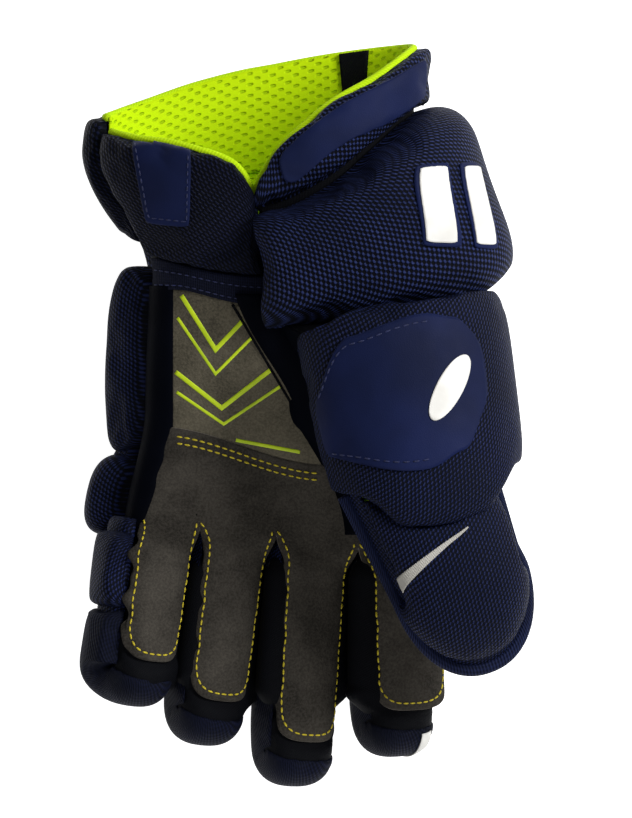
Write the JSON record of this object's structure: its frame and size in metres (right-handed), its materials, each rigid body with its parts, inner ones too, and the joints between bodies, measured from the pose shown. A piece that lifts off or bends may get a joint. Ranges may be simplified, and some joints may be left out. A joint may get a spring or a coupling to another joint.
{
  "type": "hockey glove",
  "caption": "Padded left-hand ice hockey glove with a suede palm, foam-rolled back and fingers, two-piece thumb, lined flared cuff with a hinged palm flap.",
  "frame": {"origin": "middle of the flat on the backhand roll, which lies on the table", "axes": "+X to the thumb side, +Y along the hand to the cuff, +Z out of the palm"},
  "size_m": [0.2138, 0.3536, 0.1257],
  "materials": {
    "navy_mesh": "coarse knitted mesh over foam",
    "smooth_navy": "smooth coated fabric, satin",
    "grey_suede": "napped synthetic suede",
    "neon_lining": "dimpled spacer mesh",
    "black_stretch": "fine stretch knit",
    "light_trim": "woven tape",
    "clear_plate": "moulded sheet"
  },
  "bodies": {
    "hand": {"backhand_plate": "clear_plate", "backhand_roll": "navy_mesh", "hand_lining": "neon_lining", "knuckle_rolls": "navy_mesh", "palm_heel": "grey_suede", "palm_leather": "grey_suede", "palm_seam_tape": "smooth_navy", "thenar_tape": "smooth_navy", "thumb_base_lining": "neon_lining", "thumb_base_pad": "navy_mesh", "thumb_base_patch": "smooth_navy", "ulnar_pad": "navy_mesh", "ulnar_side_panel": "black_stretch", "wrist_roll": "navy_mesh"},
    "cuff": {"cuff_back_pad": "navy_mesh", "cuff_label": "black_stretch", "cuff_lining": "neon_lining", "cuff_radial_panel": "navy_mesh", "cuff_radial_tab": "smooth_navy", "cuff_rim_binding": "neon_lining", "cuff_stiffener": "clear_plate", "cuff_ulnar_flap": "navy_mesh"},
    "cuff_flap": {"cuff_palm_panel": "navy_mesh", "cuff_palm_tab": "smooth_navy", "flap_lining": "neon_lining", "flap_rim_binding": "neon_lining"},
    "thumb": {"thumb_gusset": "black_stretch", "thumb_leather": "grey_suede", "thumb_pad": "navy_mesh", "thumb_piping": "navy_mesh", "thumb_stiffener": "clear_plate", "thumb_stripe": "light_trim"},
    "pinky_base": {"pinky_base_gusset": "black_stretch", "pinky_base_leather": "grey_suede", "pinky_base_pad": "navy_mesh"},
    "pinky_tip": {"pinky_tip_gusset": "black_stretch", "pinky_tip_leather": "grey_suede", "pinky_tip_pad": "navy_mesh"},
    "ring_base": {"ring_base_gusset": "black_stretch", "ring_base_leather": "grey_suede", "ring_base_pad": "navy_mesh"},
    "ring_tip": {"ring_tip_gusset": "black_stretch", "ring_tip_leather": "grey_suede", "ring_tip_pad": "navy_mesh"},
    "middle_base": {"middle_base_gusset": "black_stretch", "middle_base_leather": "grey_suede", "middle_base_pad": "navy_mesh"},
    "middle_tip": {"middle_tip_gusset": "black_stretch", "middle_tip_leather": "grey_suede", "middle_tip_pad": "navy_mesh"},
    "index_base": {"index_base_gusset": "black_stretch", "index_base_leather": "grey_suede", "index_base_pad": "navy_mesh"},
    "index_tip": {"index_stripe": "light_trim", "index_tip_gusset": "black_stretch", "index_tip_leather": "grey_suede", "index_tip_pad": "navy_mesh"}
  },
  "joints": [
    {"name": "pinky_root_bend", "type": "hinge", "parent": "hand", "child": "pinky_base", "pos_m": [-0.06, -0.0767, 0.064], "axis": [-0.8748, 0.1198, 0.4695], "range_deg": [0, 45]},
    {"name": "pinky_middle_bend", "type": "hinge", "parent": "pinky_base", "child": "pinky_tip", "pos_m": [-0.06507, -0.1137, 0.064], "axis": [-0.8748, 0.1198, 0.4695], "range_deg": [0, 60]},
    {"name": "ring_root_bend", "type": "hinge", "parent": "hand", "child": "ring_base", "pos_m": [-0.0265, -0.0767, 0.055], "axis": [-0.8764, 0.1076, 0.4695], "range_deg": [0, 45]},
    {"name": "ring_middle_bend", "type": "hinge", "parent": "ring_base", "child": "ring_tip", "pos_m": [-0.03209, -0.12226, 0.055], "axis": [-0.8764, 0.1076, 0.4695], "range_deg": [0, 60]},
    {"name": "middle_root_bend", "type": "hinge", "parent": "hand", "child": "middle_base", "pos_m": [0.011, -0.0767, 0.05], "axis": [-0.8813, 0.0539, 0.4695], "range_deg": [0, 30]},
    {"name": "middle_middle_bend", "type": "hinge", "parent": "middle_base", "child": "middle_tip", "pos_m": [0.00768, -0.13105, 0.05], "axis": [-0.8813, 0.0539, 0.4695], "range_deg": [0, 50]},
    {"name": "index_root_bend", "type": "hinge", "parent": "hand", "child": "index_base", "pos_m": [0.05, -0.0767, 0.0475], "axis": [-0.8826, -0.0231, 0.4695], "range_deg": [0, 15]},
    {"name": "index_middle_bend", "type": "hinge", "parent": "index_base", "child": "index_tip", "pos_m": [0.05125, -0.12438, 0.0475], "axis": [-0.8826, -0.0231, 0.4695], "range_deg": [0, 40]},
    {"name": "thumb_bend", "type": "hinge", "parent": "hand", "child": "thumb", "pos_m": [0.066, -0.063, 0.12], "axis": [-0.9092, -0.3609, 0.2074], "range_deg": [0, 25]},
    {"name": "cuff_flap_lift", "type": "hinge", "parent": "hand", "child": "cuff_flap", "pos_m": [-0.017, 0.046, 0.074], "axis": [0.9854, -0.1705, 0], "range_deg": [0, 25]},
    {"name": "cuff_bend", "type": "hinge", "parent": "hand", "child": "cuff", "pos_m": [-0.019, 0.0945, 0], "axis": [-0.9613, -0.2756, 0], "range_deg": [0, 15]}
  ]
}
